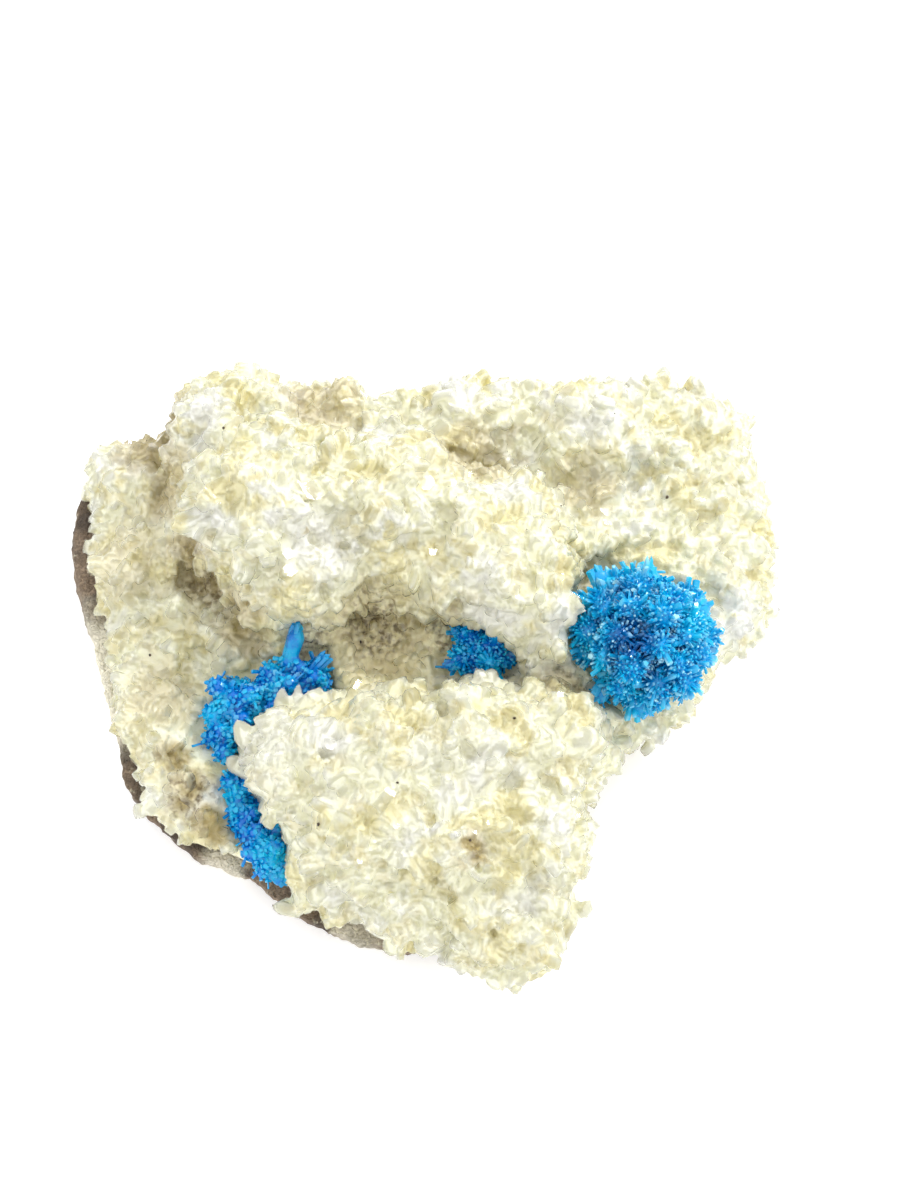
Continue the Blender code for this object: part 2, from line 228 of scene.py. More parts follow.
# Geometry Nodes tree that grows crystals out of a surface
def growTree():
    tree = bpy.data.node_groups.new("grow crystals", "GeometryNodeTree")
    tree.is_modifier = True
    given, result = groupSockets(tree, (
        ("Surface", "Geometry"), ("Crystals", "Collection"), ("Spacing", "Float"), ("Density", "Float"),
        ("Seed", "Int"), ("Smallest", "Vector"), ("Largest", "Vector"), ("Lean", "Float"), ("Bundle Size", "Float"),
        ("Scatter", "Float"), ("Centre", "Vector"), ("Radial Share", "Float"), ("Finish", "Material"),
    ), [("Surface", "Geometry")])

    def chance(kind, low, high, seedStep):
        first, output = (0, 0) if kind == "FLOAT_VECTOR" else (2, 1)
        inputs = {first: low, first + 1: high, "Seed": mathNode(tree, "ADD", given["Seed"], seedStep)}
        return newNode(tree, "FunctionNodeRandomValue", inputs, data_type=kind).outputs[output]

    def shaken(seedStep):
        way = chance("FLOAT_VECTOR", (-1, -1, -1), (1, 1, 1), seedStep)
        return vectorMath(tree, "SCALE", way, scale=given["Scatter"])

    points = newNode(tree, "GeometryNodeDistributePointsOnFaces", {
        "Mesh": given["Surface"], "Distance Min": given["Spacing"], "Density Max": given["Density"],
        "Seed": given["Seed"],
    }, distribute_method="POISSON")
    normal = points.outputs["Normal"]
    position = newNode(tree, "GeometryNodeInputPosition").outputs[0]
    outward = vectorMath(tree, "NORMALIZE", vectorMath(tree, "SUBTRACT", position, given["Centre"]))
    share = given["Radial Share"]
    straight = vectorMath(tree, "SCALE", normal, scale=mathNode(tree, "SUBTRACT", 1.0, share))
    facing = vectorMath(tree, "ADD", vectorMath(tree, "SCALE", outward, scale=share), straight)
    bundle = drift(tree, position, mathNode(tree, "DIVIDE", 1.0, given["Bundle Size"]), 1.0, driftAmount)
    leaning = vectorMath(tree, "ADD", facing, vectorMath(tree, "SCALE", bundle, scale=given["Lean"]))
    axis = vectorMath(tree, "NORMALIZE", vectorMath(tree, "ADD", leaning, shaken(1)))
    level = vectorMath(tree, "CROSS_PRODUCT", normal, axis)  # so that a leaning blade shows its face
    across = vectorMath(tree, "ADD", level, shaken(2))
    turned = newNode(tree, "FunctionNodeAxesToRotation", {0: axis, 1: across}, primary_axis="Z", secondary_axis="X")
    size = chance("FLOAT_VECTOR", given["Smallest"], given["Largest"], 3)
    size = vectorMath(tree, "SCALE", size, scale=namedValue(tree, "growth"))
    shaded = withValue(tree, points.outputs["Points"], "shade", chance("FLOAT", 0.0, 1.0, 4))
    kinds = newNode(tree, "GeometryNodeCollectionInfo", {
        "Collection": given["Crystals"], "Separate Children": True, "Reset Children": True,
    })
    grown = newNode(tree, "GeometryNodeInstanceOnPoints", {
        "Points": shaded, "Instance": kinds.outputs[0], "Pick Instance": True, "Rotation": turned.outputs[0],
        "Scale": size,
    })
    real = newNode(tree, "GeometryNodeRealizeInstances", {"Geometry": grown.outputs["Instances"]}).outputs["Geometry"]
    painted = newNode(tree, "GeometryNodeSetMaterial", {"Geometry": real, "Material": given["Finish"]})
    fill(tree, result["Surface"], painted.outputs["Geometry"])
    return tree


def runTree(thing, tree, values):
    modifier = thing.modifiers.new(tree.name, "NODES")
    modifier.node_group = tree
    for item in tree.interface.items_tree:
        if item.in_out == "INPUT" and item.name in values:
            modifier[item.identifier] = values[item.name]
    return makePlain(thing)


def metres(*sizes):
    return [size * mm for size in sizes]


# Crystals that are grown many times over, one unit long

def addPlate(bm, outline, place, thickness, step, values, layers):
    sides = []
    for side in (-0.5, 0.5):
        ring = []
        for u, v in outline:
            narrowing = 1.0 - values["taper"] * max(0.0, v)
            middle = step * (values["pitch"] + values["spread"] * max(0.0, v))
            vertex = bm.verts.new(place @ Vector((u, middle + side * thickness * narrowing, v)))
            vertex[layers[0]] = max(0.0, v)
            vertex[layers[1]] = u + values["striaeStep"] * step
            ring.append(vertex)
        sides.append(ring)
    low, high = sides
    bm.faces.new(low)
    bm.faces.new(high[::-1])
    for i in range(len(outline)):
        k = (i + 1) % len(outline)
        bm.faces.new((low[k], low[i], high[i], high[k]))


bladeValues = {
    "plates": (1, 1, 2, 2, 3, 3, 4, 5),  # plates in each kind of sheaf
    "thickness": (0.9, 1.25),   # share of the sheaf's unit thickness
    "singleThickness": 1.9,
    "pitch": 0.8,               # from one plate to the next at the root
    "spread": 0.35,             # and how much more at the tip
    "taper": 0.25,              # how much thinner a plate is at its tip
    "outline": ((-0.34, -0.45), (0.34, -0.45), (0.50, 0.25), (0.40, 0.52), (0.10, 0.68), (-0.22, 0.60), (-0.46, 0.38)),
    "aside": 0.14,              # how far a plate may slip sideways
    "sunk": 0.1,                # and how far down
    "tilt": 0.12,               # how far it may turn in its own plane, in radians
    "twist": 0.1,               # and round its length
    "width": (0.8, 1.1),
    "length": (0.72, 1.0),
    "striaeStep": 0.37,         # so that the plates of a sheaf have different fine lines
    "seed": 3,
}


def bladeSheaves(values):
    draw = random.Random(values["seed"])
    kinds = bpy.data.collections.new("stilbite sheaves")
    for kind, count in enumerate(values["plates"]):
        bm = bmesh.new()
        layers = [bm.verts.layers.float.new(name) for name in ("tipward", "across")]
        for plate in range(count):
            step = plate - (count - 1) / 2
            slip = Vector((draw.uniform(-values["aside"], values["aside"]), 0, draw.uniform(-values["sunk"], 0.0)))
            tilt = Matrix.Rotation(draw.uniform(-values["tilt"], values["tilt"]), 4, "Y")
            twist = Matrix.Rotation(draw.uniform(-values["twist"], values["twist"]), 4, "Z")
            flip = draw.choice((-1, 1))
            wide = draw.uniform(*values["width"])
            long = draw.uniform(*values["length"])
            outline = [(u * flip * wide, v * long) for u, v in values["outline"]]
            if flip < 0:
                outline.reverse()
            thickness = draw.uniform(*values["thickness"]) * (values["singleThickness"] if count == 1 else 1)
            addPlate(bm, outline, Matrix.Translation(slip) @ tilt @ twist, thickness, step, values, layers)
        kinds.objects.link(bpy.data.objects.new(f"sheaf{kind}", finishedMesh(bm, f"sheaf{kind}")))
    return kinds


prismValues = {
    "kinds": 6,
    "sides": 5,
    "shoulder": (0.80, 0.95),  # share of the length where the point starts
    "root": 0.75,              # width at the root, as a share of the widest
    "rootDepth": 0.35,         # how far the root goes under the surface
    "uneven": 0.15,            # how far a corner strays, as a share of a side
    "slant": 0.08,             # how far a shoulder's corner strays up or down
    "tipAside": 0.25,
    "seed": 9,
}


# One prism, a unit long and a unit wide before it is placed
def addPrism(bm, place, shade, values, draw):
    tipward = bm.verts.layers.float["tipward"]
    tint = bm.verts.layers.float["shade"]
    shoulder = draw.uniform(*values["shoulder"])
    uneven, slant, aside = values["uneven"], values["slant"], values["tipAside"]
    rings = []
    for height, width in ((-values["rootDepth"], values["root"]), (shoulder, 1.0)):
        ring = []
        for i in range(values["sides"]):
            turn = math.tau * (i + draw.uniform(-uneven, uneven)) / values["sides"]
            level = height + (draw.uniform(-slant, slant) if height > 0 else 0.0)
            spot = Vector((math.cos(turn) * width * 0.5, math.sin(turn) * width * 0.5, level))
            vertex = bm.verts.new(place @ spot)
            vertex[tipward] = max(0.0, height)
            vertex[tint] = shade
            ring.append(vertex)
        rings.append(ring)
    low, high = rings
    tip = bm.verts.new(place @ Vector((draw.uniform(-aside, aside), draw.uniform(-aside, aside), 1.0)))
    tip[tipward] = 1.0
    tip[tint] = shade
    bm.faces.new(low[::-1])
    for i in range(values["sides"]):
        k = (i + 1) % values["sides"]
        bm.faces.new((low[i], low[k], high[k], high[i]))
        bm.faces.new((high[i], high[k], tip))


def prismMesh():
    bm = bmesh.new()
    for name in ("tipward", "shade"):
        bm.verts.layers.float.new(name)
    return bm


def azurePrisms(values):
    draw = random.Random(values["seed"])
    kinds = bpy.data.collections.new("pentagonite prisms")
    for kind in range(values["kinds"]):
        bm = prismMesh()
        addPrism(bm, Matrix.Identity(4), 0.5, values, draw)
        mesh = finishedMesh(bm, f"prism{kind}")
        mesh.attributes.remove(mesh.attributes["shade"])  # each grown prism gets a shade of its own
        kinds.objects.link(bpy.data.objects.new(f"prism{kind}", mesh))
    return kinds


# Materials

def newMaterial(name):
    made = bpy.data.materials.new(name)
    made.use_nodes = True
    return made, made.node_tree, made.node_tree.nodes["Principled BSDF"]


# Cloudy mask from 0 to 1, used by every mineral for its patches
def cloudGroup():
    tree = bpy.data.node_groups.new("cloudy patches", "ShaderNodeTree")
    inputs = [(name, "Float") for name in ("Patch Size", "Low", "High", "Detail")]
    given, result = groupSockets(tree, inputs, [("Mask", "Float")])
    cloud = newNode(tree, "ShaderNodeTexNoise", {
        "Vector": newNode(tree, "ShaderNodeTexCoord").outputs["Object"], "Detail": given["Detail"],
        "Scale": mathNode(tree, "DIVIDE", 1.0, given["Patch Size"]),
    })
    fill(tree, result["Mask"], ranged(tree, cloud.outputs["Fac"], given["Low"], given["High"]))
    return tree


def cloudMask(tree, group, patch, low, high, detail=3.0):
    inputs = {"Patch Size": patch * mm, "Low": low, "High": high, "Detail": detail}
    return newNode(tree, "ShaderNodeGroup", inputs, node_tree=group).outputs["Mask"]


def mixColour(tree, mask, low, high):
    return newNode(tree, "ShaderNodeMix", {"Factor": mask, 6: low, 7: high}, data_type="RGBA").outputs[2]


def attributeValue(tree, name):
    return newNode(tree, "ShaderNodeAttribute", attribute_name=name).outputs["Fac"]


def ranged(tree, value, low, high, toLow=0.0, toHigh=1.0):
    inputs = {"Value": value, "From Min": low, "From Max": high, "To Min": toLow, "To Max": toHigh}
    return newNode(tree, "ShaderNodeMapRange", inputs, interpolation_type="SMOOTHSTEP").outputs["Result"]


spotValues = {
    "waverSize": 3.5,  # from one bend of a spot's edge to the next
    "full": 0.35,      # share of the radius inside which a spot has its full strength
    "height": 0.5,     # heights count this much, so a spot reaches over lumps and hollows alike
}


# Masks round named places of the specimen, each given as centre, radius and strength, with a wavering edge
def spotMask(tree, spots, waver):
    place = newNode(tree, "ShaderNodeTexCoord").outputs["Object"]
    offset = drift(tree, place, 1 / (spotValues["waverSize"] * mm), 3.0, waver * mm)
    flat = Vector((1, 1, spotValues["height"]))
    moved = vectorMath(tree, "MULTIPLY", vectorMath(tree, "ADD", place, offset), flat)
    total = None
    for centre, radius, strength in spots.values():
        apart = newNode(tree, "ShaderNodeVectorMath", {0: moved, 1: Vector(centre) * flat * mm}, operation="DISTANCE")
        full = spotValues["full"] * radius * mm
        mask = ranged(tree, apart.outputs["Value"], full, radius * mm, strength, 0.0)
        total = mask if total is None else mathNode(tree, "MAXIMUM", total, mask)
    return total


def masked(tree, mask, share):
    return mathNode(tree, "MULTIPLY", mask, share)


def cloudyRoughness(tree, clouds, patches, roughness):
    return ranged(tree, cloudMask(tree, clouds, *patches), 0.0, 1.0, *roughness)


def bumped(tree, height, distance):
    return newNode(tree, "ShaderNodeBump", {"Distance": distance * mm, "Height": height}).outputs["Normal"]


# Patches are the size, low end and high end of a cloud. Blades, prisms, tips and hollows are ramps: two ends, two
# results.
stilbiteLook = {
    # white is the crust's whitest tone, and also the painted highlight at the highlight spots
    "white": (0.985, 0.965, 0.85, 1),
    "cream": (0.945, 0.91, 0.70, 1),
    "honey": (0.845, 0.795, 0.49, 1),
    # painted shade: the olive that darkens hollows, creases and recesses where shade falls
    "shadeOlive": (0.50, 0.41, 0.19, 1),
    "tan": (0.92, 0.84, 0.56, 1),
    # painted shadow: dark brown flecks under the ridge's edge and in the trench, the crack and below the rosette
    "shadowBrown": (0.20, 0.14, 0.07, 1),
    "whitePatches": (9, 0.46, 0.68),
    "honeyPatches": (6, 0.50, 0.64),
    "honeyShare": 0.85,
    "whiteBlades": (0.6, 1.0, 0.0, 0.4),       # by the shade of each blade
    # painted shade in the hollows, rising with shelter
    "shadeOliveHollows": (0.45, 1.0, 0.0, 0.52),    # by shelter
    "shadeOlivePatches": (3, 0.3, 0.7),
    "shadeOlivePatchShare": 0.2,
    "shadowFleckPatches": (0.9, 0.44, 0.66, 5.0),
    "waver": {"white": 6.0, "tan": 6.0, "shadeOlive": 5.0, "shadowBrown": 2.0},
    "roughness": (0.1, 0.35),
    "roughnessPatches": (1.2, 0.3, 0.7),
    "subsurface": 1.0,
    "subsurfaceDepth": 0.9,
    "ior": 1.5,
    "striae": 0.09,
    "striaeAcross": 9.0,   # fine lines over a blade's width
    "striaeVary": 40.0,    # how much they differ from blade to blade
    # Painted shade at the recesses: the trench, the valleys behind the ridge, the left shelf, the crack, the mound pit
    # and beside the large rosette
    "shadeOliveSpots": {
        "left trench, back": ((-38.9, 34.7, 14.0), 9.0, 0.75),
        "left trench, middle": ((-34.5, 25.0, 14.0), 7.0, 0.8),
        "left trench": ((-29.5, 14.6, 14.0), 8.0, 0.9),
        "left trench, front": ((-23.5, 4.5, 14.0), 6.0, 0.75),
        "valley behind the ridge, left": ((-14.4, 36.7, 22.0), 8.0, 0.5),
        "left shelf, low": ((-36.0, -6.0, 9.0), 7.0, 0.3),
        "left shelf, back": ((-42.0, 15.0, 9.0), 8.0, 0.25),
        "valley behind the ridge": ((7.4, 26.7, 21.0), 8.0, 0.5),
        "valley behind the ridge, right": ((24.5, 24.0, 20.0), 6.0, 0.35),
        "crack, back": ((-33.9, -14.8, 10.5), 3.4, 1.0),
        "crack": ((-31.5, -19.5, 10.5), 3.6, 1.0),
        "crack, front": ((-27.5, -24.0, 10.0), 3.8, 1.0),
        "mound pit": ((7.1, -30.3, 20.0), 3.2, 1.0),
        "beside the large rosette": ((20.0, -6.5, 15.0), 4.5, 0.6),
    },
    "tanSpots": {
        "vug": ((-6.0, 1.0, 8.0), 13.0, 0.85),
        "under the ridge": ((4.0, 3.5, 12.0), 7.0, 0.8),
        "right of the spray": ((-12.0, 0.0, 13.0), 7.0, 0.6),
    },
    # Painted shadow: where dark brown flecks darken the crust under the ridge's edge, in the trench, the crack and
    # below the rosette
    "shadowFleckSpots": {
        "under the ridge": ((-6.0, 5.0, 12.0), 7.0, 0.8),
        "under the ridge, left": ((-16.0, 3.5, 12.0), 5.5, 0.8),
        "under the ridge, right": ((5.0, 3.5, 13.0), 5.5, 0.7),
        "left trench": ((-28.0, 12.0, 13.5), 8.0, 0.7),
        "below the rosette": ((20.0, -6.0, 15.0), 4.5, 0.6),
        "crack": ((-31.0, -20.0, 10.0), 5.0, 0.8),
    },
    # Painted highlight: white on the ridge top, the mound shoulder and side and the back rim
    "highlightSpots": {
        "ridge": ((-12.4, 9.5, 29.0), 7.0, 0.95),
        "mound shoulder": ((-20.0, -17.0, 19.0), 8.0, 0.6),
        "back rim": ((25.0, 32.0, 24.0), 6.0, 0.8),
        "mound side": ((3.0, -18.0, 26.0), 6.0, 0.4),
    },
}


def stilbiteMaterial(values, clouds):
    made, tree, shader = newMaterial("stilbite")
    shelter = attributeValue(tree, "shelter")
    shade = attributeValue(tree, "shade")
    waver = values["waver"]
    tint = mixColour(tree, cloudMask(tree, clouds, *values["whitePatches"]), values["cream"], values["white"])
    honeyMask = masked(tree, cloudMask(tree, clouds, *values["honeyPatches"]), values["honeyShare"])
    tint = mixColour(tree, honeyMask, tint, values["honey"])
    tint = mixColour(tree, ranged(tree, shade, *values["whiteBlades"]), tint, values["white"])
    # Painted highlight: white at the highlight spots
    tint = mixColour(tree, spotMask(tree, values["highlightSpots"], waver["white"]), tint, values["white"])
    tint = mixColour(tree, spotMask(tree, values["tanSpots"], waver["tan"]), tint, values["tan"])
    # Painted shade: olive in the sheltered hollows and at the named recesses, made uneven by cloudy patches
    patches = mathNode(tree, "SUBTRACT", cloudMask(tree, clouds, *values["shadeOlivePatches"]), 0.5)
    patches = masked(tree, patches, values["shadeOlivePatchShare"])
    paintedShade = mathNode(tree, "ADD", ranged(tree, shelter, *values["shadeOliveHollows"]), patches, clamp=True)
    paintedShade = mathNode(tree, "MAXIMUM", paintedShade, spotMask(tree, values["shadeOliveSpots"], waver["shadeOlive"]))
    tint = mixColour(tree, paintedShade, tint, values["shadeOlive"])
    # Painted shadow: dark brown flecks in cloudy patches, only at the shadow fleck spots
    shadowFlecks = cloudMask(tree, clouds, *values["shadowFleckPatches"])
    shadowFlecks = masked(tree, shadowFlecks, spotMask(tree, values["shadowFleckSpots"], waver["shadowBrown"]))
    tint = mixColour(tree, shadowFlecks, tint, values["shadowBrown"])
    along = newNode(tree, "ShaderNodeCombineXYZ", {
        0: masked(tree, attributeValue(tree, "across"), values["striaeAcross"]), 1: attributeValue(tree, "tipward"),
        2: masked(tree, shade, values["striaeVary"]),
    })
    striae = newNode(tree, "ShaderNodeTexNoise", {"Vector": along.outputs[0], "Scale": 1.0, "Detail": 2.0})
    fillAll(tree, shader, {
        "Base Color": tint, "Normal": bumped(tree, striae.outputs["Fac"], values["striae"]), "IOR": values["ior"],
        "Roughness": cloudyRoughness(tree, clouds, values["roughnessPatches"], values["roughness"]),
        "Subsurface Weight": values["subsurface"], "Subsurface Radius": (1.0, 1.0, 1.0),
        "Subsurface Scale": values["subsurfaceDepth"] * mm,
    })
    return made


clearLook = {"clear": (1, 1, 1, 1), "tint": (1.0, 1.0, 0.975, 1), "roughness": 0.04, "ior": 1.5}


def clearStilbite(values):
    made, tree, shader = newMaterial("clear stilbite")
    tint = mixColour(tree, attributeValue(tree, "shade"), values["clear"], values["tint"])
    fillAll(tree, shader, {
        "Base Color": tint, "Roughness": values["roughness"], "IOR": values["ior"], "Transmission Weight": 1.0,
    })
    return made


azureLook = {
    # navy: painted shade in the gaps, and the darker patches at the navy spots
    "navy": (0.0, 0.07, 0.34, 1),
    "azure": (0.0, 0.18, 0.64, 1),
    # sky: lighter blue patches, and the painted highlight toward the tips
    "sky": (0.0, 0.50, 0.80, 1),
    "pale": (0.42, 0.84, 0.96, 1),
    "roughness": (0.1, 0.3),
    "transmission": 0.0,
}
azureMasks = {
    "skyPatches": (3.0, 0.44, 0.62),
    "skyShare": 0.7,
    # painted highlight: lighter toward each prism's tip
    "skyTipHighlight": (0.3, 1.0, 0.0, 0.35),
    # painted shade in the gaps, by shelter
    "navyShadeHollows": (0.25, 0.75),
    "frostPatches": (2.0, 0.45, 0.6),
    "frostTips": (0.4, 0.9, 0.0, 0.85),
    "frostPrisms": (0.3, 0.9, 0.15, 1.0),
    "roughnessPatches": (1.0, 0.3, 0.7),
    "ior": 1.5,
    "waver": 3.0,
    "frostSpots": {"large rosette": ((32.0, 1.0, 19.0), 24.0, 1.0), "spray": ((-21.0, -6.0, 15.0), 12.0, 0.3)},
    "navySpots": {
        "large rosette": ((29.0, -2.5, 24.0), 5.0, 0.75),
        "large rosette, low": ((33.0, -6.5, 20.0), 3.5, 0.5),
        "large rosette, back": ((28.0, 4.5, 23.5), 3.5, 0.45),
        "spray, right": ((-14.5, -7.0, 15.0), 2.5, 0.6),
    },
    "skySpots": {
        "large rosette": ((32.0, 1.0, 19.0), 22.0, 0.5),
        "large rosette, right": ((38.0, 1.5, 21.0), 5.5, 0.9),
        "large rosette, back": ((33.0, 9.0, 20.0), 4.5, 0.8),
        "large rosette, front": ((31.0, -8.5, 16.5), 3.5, 0.6),
        "large rosette, left": ((23.0, 4.0, 19.5), 3.0, 0.6),
        "spray, left": ((-27.0, -9.0, 13.5), 3.0, 0.5),
        "foot": ((-19.5, -30.0, 11.0), 3.0, 0.5),
    },
}
clearAzureLook = {
    # navy: painted shade in the gaps, and the darker patches at the navy spots
    "navy": (0.0, 0.08, 0.40, 1),
    "azure": (0.0, 0.22, 0.72, 1),
    # sky: lighter blue patches, and the painted highlight toward the tips
    "sky": (0.01, 0.60, 0.88, 1),
    "pale": (0.50, 0.88, 0.98, 1),
    "roughness": (0.08, 0.25),
    "transmission": 0.12,
}


def azureMaterial(name, values, masks, clouds):
    made, tree, shader = newMaterial(name)
    shelter = attributeValue(tree, "shelter")
    shade = attributeValue(tree, "shade")
    tipward = attributeValue(tree, "tipward")
    lighter = masked(tree, cloudMask(tree, clouds, *masks["skyPatches"]), masks["skyShare"])
    tint = mixColour(tree, lighter, values["azure"], values["sky"])
    # Painted highlight: sky blue toward each prism's tip
    tint = mixColour(tree, ranged(tree, tipward, *masks["skyTipHighlight"]), tint, values["sky"])
    tint = mixColour(tree, spotMask(tree, masks["skySpots"], masks["waver"]), tint, values["sky"])
    tint = mixColour(tree, spotMask(tree, masks["navySpots"], masks["waver"]), tint, values["navy"])
    # Painted shade: navy in the gaps between lobes and prisms, by shelter
    tint = mixColour(tree, ranged(tree, shelter, *masks["navyShadeHollows"]), tint, values["navy"])
    frost = masked(tree, cloudMask(tree, clouds, *masks["frostPatches"]), ranged(tree, tipward, *masks["frostTips"]))
    frost = masked(tree, frost, ranged(tree, shade, *masks["frostPrisms"]))
    frost = masked(tree, frost, spotMask(tree, masks["frostSpots"], 0.0))
    tint = mixColour(tree, frost, tint, values["pale"])
    fillAll(tree, shader, {
        "Base Color": tint, "IOR": masks["ior"], "Transmission Weight": values["transmission"],
        "Roughness": cloudyRoughness(tree, clouds, masks["roughnessPatches"], values["roughness"]),
    })
    return made


basaltLook = {
    "dark": (0.10, 0.075, 0.055, 1),
    "brown": (0.30, 0.22, 0.15, 1),
    "pale": (0.60, 0.55, 0.42, 1),
    "film": (0.92, 0.87, 0.70, 1),
    "brownPatches": (4, 0.36, 0.6),
    "palePatches": (1.6, 0.58, 0.68),
    "speckles": (0.5, 0.40, 0.62),
    "speckleShare": 0.4,
    "roughness": (0.75, 0.95),
    "bump": 0.25,
    "waver": 7.0,
    "filmSpots": {
        "front left": ((-26.5, -28.3, 5.0), 5.5, 0.7),
        "left": ((-47.5, -2.0, 3.0), 15.0, 1.0),
        "front": ((-8.0, -38.0, 4.0), 5.0, 0.5),
    },
}


def basaltMaterial(values, clouds):
    made, tree, shader = newMaterial("basalt")
    tint = mixColour(tree, cloudMask(tree, clouds, *values["brownPatches"]), values["dark"], values["brown"])
    tint = mixColour(tree, cloudMask(tree, clouds, *values["palePatches"]), tint, values["pale"])
    speckle = cloudMask(tree, clouds, *values["speckles"])
    tint = mixColour(tree, masked(tree, speckle, values["speckleShare"]), tint, values["dark"])
    tint = mixColour(tree, spotMask(tree, values["filmSpots"], values["waver"]), tint, values["film"])
    fillAll(tree, shader, {
        "Base Color": tint, "Roughness": ranged(tree, speckle, 0.0, 1.0, *values["roughness"]),
        "Normal": bumped(tree, speckle, values["bump"]),
    })
    return made


clouds = cloudGroup()
stilbite = stilbiteMaterial(stilbiteLook, clouds)
azure = azureMaterial("pentagonite", azureLook, azureMasks, clouds)
clearAzure = azureMaterial("clear pentagonite", clearAzureLook, azureMasks, clouds)
clear = clearStilbite(clearLook)
basalt = basaltMaterial(basaltLook, clouds)
print("materials made")

growing = growTree()
sheaves = bladeSheaves(bladeValues)
prisms = azurePrisms(prismValues)


# The bed of the crust, that the blades stand on

bedValues = {
    "voxel": 0.9,
    "smoothing": 14,
    "relief": 0.9,
    "reliefSize": 3.0,
    "shelterReach": 11.0,
    "shelterRays": 14,
    "clearance": 2.6,  # blades reach their full length this far from the blue
    "room": 3.2,       # and this far from the sides of the solids' box
    "shortest": 0.35,  # share of the full length that is always left
}


def crustBed(values):
    bed = remeshed(mergedCopy("stilbite_crust", "crustBed"), values["voxel"], values["smoothing"])
    roughen(bed, "crust relief", values["reliefSize"], values["relief"])
    makePlain(bed)
    storeShelter(bed, values["shelterReach"], values["shelterRays"])
    blueTrees = [searchTree(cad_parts[name]) for name in blueNodes]
    growth = []
    for vertex in bed.data.vertices:
        away = min(tree.find_nearest(vertex.co)[3] for tree in blueTrees) / mm
        below = [vertex.co[i] - solidsBox[0][i] for i in range(2)]
        above = [solidsBox[1][i] - vertex.co[i] for i in range(3)]
        room = min(below + above) / mm
        growth.append(max(values["shortest"], min(1.0, away / values["clearance"], room / values["room"])))
    storeFloats(bed.data, "growth", growth)
    bed.data.materials.append(stilbite)
    return bed


bed = crustBed(bedValues)
print("crust bed:", triangleCount(bed), "triangles")


# Blades of the crust, one piece for each part of it. Sizes are width, thickness of a plate, and length.

bigBlades = {"spacing": 1.35, "smallest": (1.0, 0.45, 1.8), "lean": 2.6, "scatter": 0.45}
smallBlades = {"spacing": 1.45, "lean": 2.6, "scatter": 0.5}
crustRegions = {
    "moundBlades": {**bigBlades, "largest": (2.8, 1.0, 4.0)},
    "ridgeBlades": {**bigBlades, "largest": (2.9, 1.0, 4.2)},
    "rimBlades": {**bigBlades, "spacing": 1.45, "largest": (2.8, 1.0, 3.8)},
    "shelfBlades": {**smallBlades, "smallest": (0.9, 0.4, 1.6), "largest": (2.4, 0.9, 3.2)},
    "floorBlades": {**smallBlades, "smallest": (0.9, 0.4, 1.4), "largest": (2.2, 0.8, 2.9)},
    "hangingBlades": {
        "spacing": 1.6, "smallest": (1.2, 0.8, 2.8), "largest": (2.2, 1.2, 4.8), "lean": 0.5, "scatter": 0.3,
    },
}
sheafSpread = {"bundleSize": 6.0, "density": 900000.0, "seed": 17}
regionEdges = {
    "moundBack": (-6.0, 0.12, 4.0),  # bends back from this y by this slope on both sides of x = -4
    "moundLeft": -25.0,
    "moundFoot": 6.0,
    "rimFront": 28.0,
    "ridge": ((-33.0, 21.0), 3.0, 15.0),  # between these x, behind this y and above this z
    "shelfLeft": 12.0,
    "ridgeLip": ((-17.0, 14.0), (3.0, 16.0), (15.0, 25.0)),  # where blades hang from the lower edge of the ridge
    "lipFacing": -0.35,
    "under": -0.45,                  # faces that look down more than this grow nothing
}
stripValues = {  # along the front left edge the bare basalt shows under the crust
    "through": (-39.8, -19.4),
    "outward": (-0.443, -0.897),
    "inside": 3.2,
    "top": 9.5,
    "right": 6.0,
}


def regionOf(x, y, z):
    back, slope, middle = regionEdges["moundBack"]
    ridgeSides, ridgeFront, ridgeFoot = regionEdges["ridge"]
    if y < back + slope * abs(x + middle) and x > regionEdges["moundLeft"] and z > regionEdges["moundFoot"]:
        return "moundBlades"
    if y > regionEdges["rimFront"]:
        return "rimBlades"
    if ridgeSides[0] < x < ridgeSides[1] and y > ridgeFront and z > ridgeFoot:
        return "ridgeBlades"
    if x > regionEdges["shelfLeft"]:
        return "shelfBlades"
    return "floorBlades"


def overStrip(x, y, z, values):
    outside = sum(way * (spot - start) for way, spot, start in zip(values["outward"], (x, y), values["through"]))
    return outside > -values["inside"] and z < values["top"] and x < values["right"]


def cutRegion(bed, name):
    bm = bmesh.new()
    bm.from_mesh(bed.data)
    away = []
    for face in bm.faces:
        x, y, z = face.calc_center_median() / mm
        inLip = all(low < place < high for place, (low, high) in zip((x, y, z), regionEdges["ridgeLip"]))
        hanging = inLip and face.normal.y < regionEdges["lipFacing"]
        if hanging != (name == "hangingBlades") or (regionOf(x, y, z) != name and not hanging):
            away.append(face)
        elif face.normal.z < regionEdges["under"] or overStrip(x, y, z, stripValues):
            away.append(face)
    bmesh.ops.delete(bm, geom=away, context="FACES")
    return addObject(name, madeMesh(bm, name))


def joined(name, things):
    bm = bmesh.new()
    for thing in things:
        bm.from_mesh(thing.data)
    return addObject(name, madeMesh(bm, name))


# Blunt white blades that reach over the blue: root, tip, width and thickness

